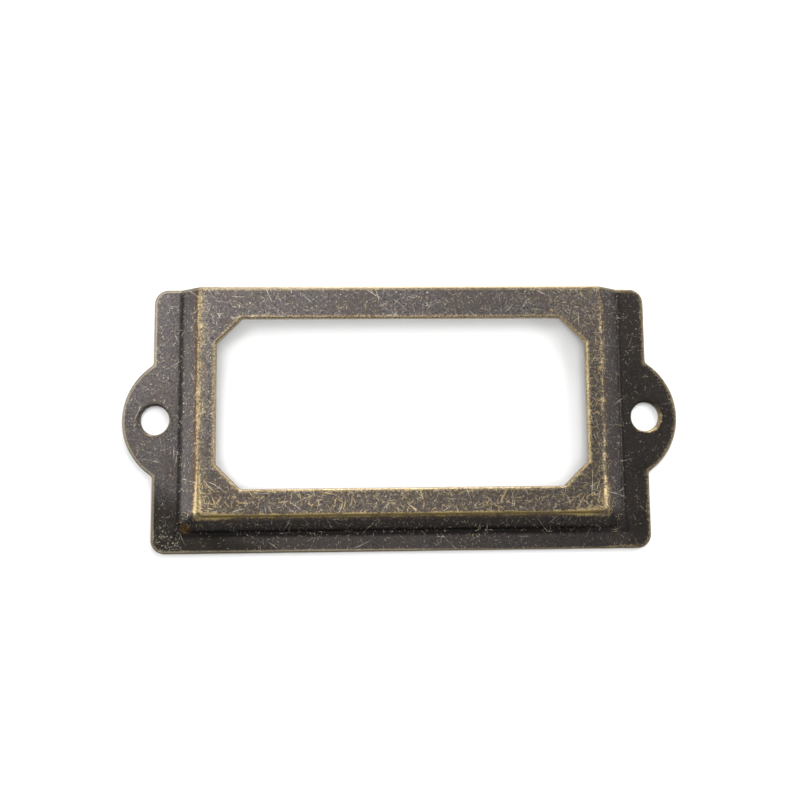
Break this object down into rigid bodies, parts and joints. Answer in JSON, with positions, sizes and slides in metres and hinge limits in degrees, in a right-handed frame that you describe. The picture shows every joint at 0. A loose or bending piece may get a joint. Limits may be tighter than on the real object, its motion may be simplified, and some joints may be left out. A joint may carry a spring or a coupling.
{
  "type": "label holder",
  "caption": "Pressed sheet metal label holder: a raised frame with a cut-cornered window, a card pocket open at the top edge, and a rounded screw ear at each end.",
  "frame": {"origin": "back plane of the flange, at the middle of the length and of the height", "axes": "+Z out of the face, away from the drawer; +X along the length, from ear to ear; +Y towards the open edge where the card goes in"},
  "size_m": [0.07, 0.033, 0.0025],
  "materials": {
    "antique_bronze": "antique: dark bronze patina, rubbed back to brass on the edges and bends"
  },
  "bodies": {
    "root": {"label_holder": "antique_bronze"}
  },
  "joints": []
}
